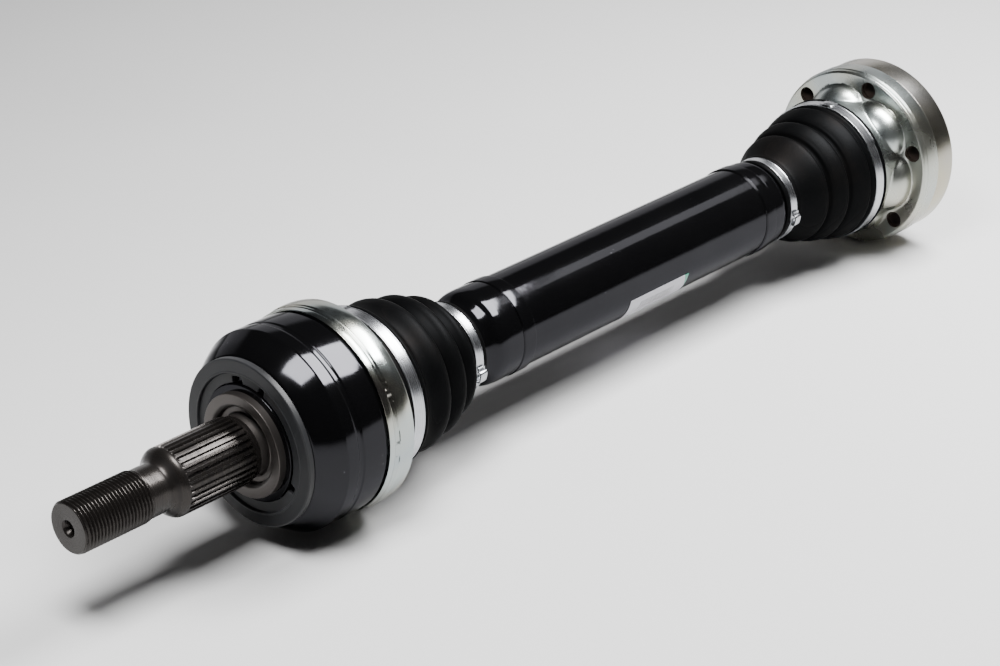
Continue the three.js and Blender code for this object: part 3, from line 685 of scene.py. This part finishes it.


# ---- Gearbox-side boot ----
# The same kind of bellows, with three cone-shaped folds that grow towards the flange. Its
# first fold spans the plunge and the next four stages the angle; all five are left unattached.
gearbox_boot = [
    [-36.2, 42.2], [-36.3, 42.9], [-37.6, 43.0], [-38.2, 41.7], [-38.5, 41.45], [-46.0, 41.45], [-46.3, 41.6],
    [-47.0, 41.5], [-48.0, 40.6], [-48.9, 39.9], [-49.6, 40.6], [-50.6, 41.2], [-52.6, 40.9], [-57.0, 39.4],
    [-61.0, 37.2], [-62.0, 34.6], [-63.2, 33.9], [-64.4, 34.8], [-66.2, 36.9], [-68.2, 37.2], [-72.0, 36.0],
    [-76.0, 33.9], [-77.0, 30.8], [-78.2, 30.0], [-79.4, 31.0], [-81.0, 32.9], [-83.2, 32.9], [-88.0, 30.6],
    [-93.0, 27.6], [-97.0, 25.5], [-98.6, 25.2], [-99.4, 24.5], [-107.0, 24.3], [-107.4, 25.0],
    [-109.2, 25.0],
    [-110.0, 24.4]]
bellows("gearbox_boot", gearbox_boot, 1.7, gearbox_joint, [
    (-36.2, -49.0, "flange", "flange"), (-49.0, -63.2, "flange", "inboard_bellows"),
    (-63.2, -72.0, "inboard_bellows", "inboard_ball_top"),
    (-72.0, -80.5, "inboard_ball_top", "inboard_cage_set"),
    (-80.5, -88.5, "inboard_cage_set", "inboard_ball_bottom"),
    (-88.5, -97.0, "inboard_ball_bottom", "shaft"), (-97.0, -110.0, "shaft", "shaft")], "inboard_boot")


# ---- Flange cap ----
# A pressed steel cover over the wheel side of the disc joint, zinc-plated. Six pockets are
# stamped into it to give the balls room, its neck carries the boot, and its skirt is rolled
# over the disc.
cap_zinc = zinc("flange zinc", 12.0, 1400.0, 0.09)
cap_low, cap_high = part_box("flange_cap")
disc_low, disc_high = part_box("inboard_outer_race")
plate_face = (disc_low.x - gearbox_joint) / MM - 2.2
clock = math.radians(12.2)
neck_radius, neck_end = 39.6, -46.8
dome_pitch, dome_out, dome_wide, dome_deep = 28.3, 18.0, 20.2, 18.0
bolt_circle, bolt_radius = 47.0, 5.05


def blended(first, second, size):
    """Distance to two shapes joined with a soft fillet."""
    share = np.clip(0.5 + 0.5 * (second - first) / size, 0, 1)
    return second * (1 - share) + first * share - size * share * (1 - share)


def cap_distance(x, radius, angle):
    plate = -(x - plate_face)
    neck = radius - neck_radius
    sixth = math.pi / 3
    off = (angle - clock + sixth / 2) % sixth - sixth / 2
    out = (radius * np.cos(off) - dome_pitch) / dome_out
    side = radius * np.sin(off) / dome_wide
    deep = np.minimum(x - plate_face, 0) / dome_deep
    dome = (np.sqrt(out * out + side * side + deep * deep) - 1) * dome_out
    return blended(blended(plate, neck, 6.0), dome, 0.9)


around = 432
angles = np.arange(around) * 2 * math.pi / around
hub = np.array([plate_face + 8.0, 22.0])
first = math.atan2(52.2 - hub[1], plate_face - hub[0])
last = math.atan2(neck_radius - hub[1], neck_end - hub[0])
spread = np.linspace(0, 1, 84)
rays = first + (last - first) * spread ** 0.9
near = np.zeros((around, len(rays)))
far = np.full((around, len(rays)), 90.0)
for _ in range(40):
    middle = (near + far) / 2
    x = hub[0] + middle * np.cos(rays)
    radius = hub[1] + middle * np.sin(rays)
    inside = cap_distance(x, radius, angles[:, None]) < 0
    near = np.where(inside, middle, near)
    far = np.where(inside, far, middle)
formed = np.stack([
    hub[0] + near * np.cos(rays), hub[1] + near * np.sin(rays),
    np.broadcast_to(angles[:, None], near.shape)], -1)
skirt = rounded([
    [plate_face + 1.9, 53.4], [plate_face + 14.0, 53.4, 0.3], [plate_face + 14.6, 54.2, 0.3],
    [plate_face + 14.2, 55.0, 0.4], [plate_face + 3.9, 54.95, 0.3], [plate_face + 3.3, 54.5, 0.3],
    [plate_face + 1.2, 54.3, 0.4], [plate_face + 0.05, 53.4, 0.5], [plate_face, 52.6]])
inner = rounded([
    [neck_end, 39.05], [plate_face - 4, 39.05, 1.0], [plate_face + 1.9, 40.5, 1.0], [plate_face + 1.9, 53.4]])


def all_round(outline):
    grid = np.zeros((around, len(outline), 3))
    grid[..., :2] = np.asarray(outline)[None]
    grid[..., 2] = angles[:, None]
    return grid


def drilled(piece, x_from, x_to, size=bolt_radius):
    """Cuts the six bolt holes through a piece."""
    for i in range(6):
        turn = clock + math.pi / 6 + i * math.pi / 3
        work = bmesh.new()
        bmesh.ops.create_cone(
            work, cap_ends=True, segments=48, radius1=size * MM, radius2=size * MM,
            depth=(x_to - x_from) * MM)
        mesh = bpy.data.meshes.new("bolt drill")
        work.to_mesh(mesh)
        work.free()
        drill = bpy.data.objects.new("bolt drill", mesh)
        drill.rotation_euler = (0, math.pi / 2, 0)
        middle = (x_from + x_to) / 2 * MM + gearbox_joint
        drill.location = (middle, bolt_circle * MM * math.cos(turn), bolt_circle * MM * math.sin(turn))
        bpy.context.collection.objects.link(drill)
        cut = piece.modifiers.new("hole", "BOOLEAN")
        cut.operation, cut.solver, cut.object = "DIFFERENCE", "EXACT", drill
        graph = bpy.context.evaluated_depsgraph_get()
        result = bpy.data.meshes.new_from_object(piece.evaluated_get(graph))
        piece.modifiers.clear()
        piece.data = result
        bpy.data.objects.remove(drill)
    piece.data.shade_smooth()
    piece.data.set_sharp_from_angle(angle=math.radians(32))
    return piece


def line_holes(piece, size):
    """The walls of the bolt holes get the second material."""
    piece.data.materials.append(hole_wall)
    for face in piece.data.polygons:
        for i in range(6):
            turn = clock + math.pi / 6 + i * math.pi / 3
            side = math.hypot(face.center.y - bolt_circle * MM * math.cos(turn),
                              face.center.z - bolt_circle * MM * math.sin(turn))
            if side < (size + 0.15) * MM and abs(face.normal.x) < 0.5:
                face.material_index = 1


# The walls of the bolt holes are coloured dark brown, much darker than the zinc cap and the disc steel round
# them.
hole_wall, tree, shader = material("dark hole wall", Metallic=0.6, Roughness=0.5)
marks = use(tree, turning, Rings_per_mm=1.5, Unevenness=0.8)
tint = ramp(tree, (marks, "Streak"), [(0.2, (0.020, 0.014, 0.011)), (0.9, (0.055, 0.040, 0.032))])
tree.links.new(tint.outputs[0], shader.inputs["Base Color"])
cover = skin("flange_cover", np.concatenate([all_round(skirt), formed, all_round(inner)], 1), gearbox_joint)
drilled(cover, plate_face - 8, plate_face + 8)
place(cover, "flange", ["flange_cap"], cap_zinc)
line_holes(cover, bolt_radius)


# ---- Joint disc ----
# The outer race of the gearbox-side joint: a hardened disc, turned on its rim and bolted to
# the gearbox's drive flange by six screws through its holes.
disc_steel, tree, shader = material("turned disc steel", Metallic=1.0)
marks = use(tree, turning, Rings_per_mm=2.5, Unevenness=0.5)
heat_in = node(tree, "TexCoord")
heat = node(tree, "TexNoise", {"Vector": (heat_in, "Object"), "Scale": 11.0, "Detail": 3.0})
tint = ramp(tree, (heat, 0), [
    (0.25, (0.24, 0.25, 0.26)), (0.45, (0.29, 0.28, 0.26)), (0.6, (0.33, 0.31, 0.23)),
    (0.75, (0.29, 0.24, 0.23))])
tree.links.new(tint.outputs[0], shader.inputs["Base Color"])
shine = ramp(tree, (marks, "Streak"), [(0.2, (0.17,) * 3), (0.9, (0.26,) * 3)])
tree.links.new(shine.outputs[0], shader.inputs["Roughness"])
bump(tree, shader, (marks, "Height"), 0.00002)
disc_front, disc_back = (disc_low.x - gearbox_joint) / MM, (disc_high.x - gearbox_joint) / MM
outline = rounded([
    [disc_front, 40.2], [disc_front, 53.1], [plate_face + 15.0, 53.1], [plate_face + 15.0, 54.2, 0.3],
    [disc_back - 1.6, 54.6, 0.5], [disc_back, 53.0, 0.4], [disc_back, 40.2, 0.4], [disc_front, 40.2]])
disc = turned("joint_disc", outline, gearbox_joint, 240)
drilled(disc, disc_front - 2, disc_back + 2, bolt_radius - 0.25)
place(disc, "flange", ["inboard_outer_race"], disc_steel)
line_holes(disc, bolt_radius - 0.25)


# ---- End cap ----
# A domed sheet cap pressed into the disc's bore on the gearbox side. It keeps the grease in
# and centres in the drive flange.
crown = (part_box("flange_end_cap")[1].x - gearbox_joint) / MM
outline = rounded([
    [disc_back - 2.7, 39.0], [disc_back - 2.7, 39.8], [disc_back + 2.0, 39.8, 0.5], [crown - 5.5, 38.6, 2.5],
    [crown, 34.2, 5.0], [crown, 20.5, 0.8], [crown - 0.9, 19.6, 0.6], [crown - 0.9, 13.0, 0.6],
    [crown, 12.0, 0.8],
    [crown, 0.0], [crown - 0.8, 0.0], [crown - 0.8, 11.6], [crown - 1.7, 12.6], [crown - 1.7, 20.0],
    [crown - 0.8, 20.9], [crown - 0.8, 33.8, 4.0], [disc_back + 2.0, 38.9, 1.0], [disc_back - 2.7, 39.0]])
place(turned("end_cap", outline, gearbox_joint), "flange", ["flange_end_cap"], cap_zinc)


# ---- Balls, cages and inner races ----
# Inside each joint six ground balls run in a hardened cage between the two races, and a
# circlip holds the inner race on the shaft's splines.
ground_ball, tree, shader = material("ground ball", Metallic=1.0)
film_in = node(tree, "TexCoord")
film = node(tree, "TexNoise", {"Vector": (film_in, "Object"), "Scale": 120.0, "Detail": 4.0})
tint = ramp(tree, (film, 0), [(0.3, (0.52, 0.53, 0.55)), (0.8, (0.66, 0.66, 0.67))])
tree.links.new(tint.outputs[0], shader.inputs["Base Color"])
shine = ramp(tree, (film, 0), [(0.3, (0.06,) * 3), (0.8, (0.16,) * 3)])
tree.links.new(shine.outputs[0], shader.inputs["Roughness"])
hardened, tree, shader = material("hardened and greased", Metallic=1.0)
marks = use(tree, turning, Rings_per_mm=1.6, Unevenness=0.8)
tint = ramp(tree, (marks, "Streak"), [(0.2, (0.14, 0.13, 0.12)), (0.9, (0.34, 0.33, 0.31))])
tree.links.new(tint.outputs[0], shader.inputs["Base Color"])
shine = ramp(tree, (marks, "Streak"), [(0.2, (0.3,) * 3), (0.9, (0.45,) * 3)])
tree.links.new(shine.outputs[0], shader.inputs["Roughness"])
bump(tree, shader, (marks, "Height"), 0.00002)
for name, part in frame["nodes"].items():
    if part.hide_render:
        continue
    part.data.materials.clear()
    part.data.materials.append(ground_ball if "_ball_" in name else hardened)


# ---- Studio ----
# A pale table under three softboxes, in a dark room with one pale wall beyond the axle. The
# large box is over the bell, a dim one follows the shaft and one is over the threaded stub.
table_finish, tree, shader = material("pale table", Roughness=0.75)
table_in = node(tree, "TexCoord")
fibre = node(tree, "TexNoise", {"Vector": (table_in, "Object"), "Scale": 3.0, "Detail": 2.0})
tint = ramp(tree, (fibre, 0), [(0.3, (0.49, 0.49, 0.49)), (0.7, (0.51, 0.51, 0.51))])
tree.links.new(tint.outputs[0], shader.inputs["Base Color"])
mesh = bpy.data.meshes.new("table")
size, height = 6.0, cad_low.z - 0.0005
corners = [(-size, -size, height), (size, -size, height), (size, size, height), (-size, size, height)]
mesh.from_pydata(corners, [], [(0, 1, 2, 3)])
table = bpy.data.objects.new("table", mesh)
table.data.materials.append(table_finish)
bpy.context.collection.objects.link(table)


def softbox(name, at, aim, size, power):
    lamp = bpy.data.lights.new(name, "AREA")
    lamp.shape, lamp.size, lamp.size_y, lamp.energy = "RECTANGLE", size[0], size[1], power
    holder = bpy.data.objects.new(name, lamp)
    holder.location = at
    holder.rotation_euler = (Vector(aim) - Vector(at)).to_track_quat("-Z", "Y").to_euler()
    bpy.context.collection.objects.link(holder)


softbox("key", (0.19, -0.25, 0.86), (0.19, -0.25, 0), (0.40, 0.66), 45)
softbox("key tail", (0.62, -0.12, 0.86), (0.62, -0.12, 0), (0.36, 0.32), 1.4)
softbox("stub light", (-0.82, -0.15, 0.88), (-0.82, -0.15, 0), (0.40, 0.42), 24)
world = bpy.data.worlds.new("room")
world.use_nodes = True
room = world.node_tree
look = node(room, "TexCoord")
height = node(room, "SeparateXYZ", {0: (look, "Generated")})
low_wall = node(room, "MapRange", {
    "Value": (height, "Z"), "From Min": 0.46, "From Max": 0.38, "To Min": 0, "To Max": 1})
ahead = node(room, "VectorMath", {0: (look, "Generated"), 1: (0.735, 0.678, 0)}, operation="DOT_PRODUCT")
far_side = node(room, "MapRange", {
    "Value": (ahead, "Value"), "From Min": 0.45, "From Max": 0.8, "To Min": 0, "To Max": 1})
wall = math_node(room, "MULTIPLY", (low_wall, 0), (far_side, 0))
glow = node(room, "MapRange", {"Value": (wall, 0), "To Min": 0.035, "To Max": 1.3})
background = next(n for n in room.nodes if n.type == "BACKGROUND")
background.inputs[0].default_value = (1, 0.99, 1, 1)
room.links.new(glow.outputs[0], background.inputs[1])
bpy.context.scene.world = world

lens = bpy.data.cameras.new("camera")
lens.sensor_width, lens.lens = 36.0, 92.67
lens.clip_start, lens.clip_end = 0.01, 30
camera = bpy.data.objects.new("camera", lens)
camera.location = (-1.2657, -0.8367, 0.6030)
camera.rotation_euler = Vector((0.65886, 0.60833, -0.44252)).to_track_quat("-Z", "Y").to_euler()
bpy.context.collection.objects.link(camera)
bpy.context.scene.camera = camera
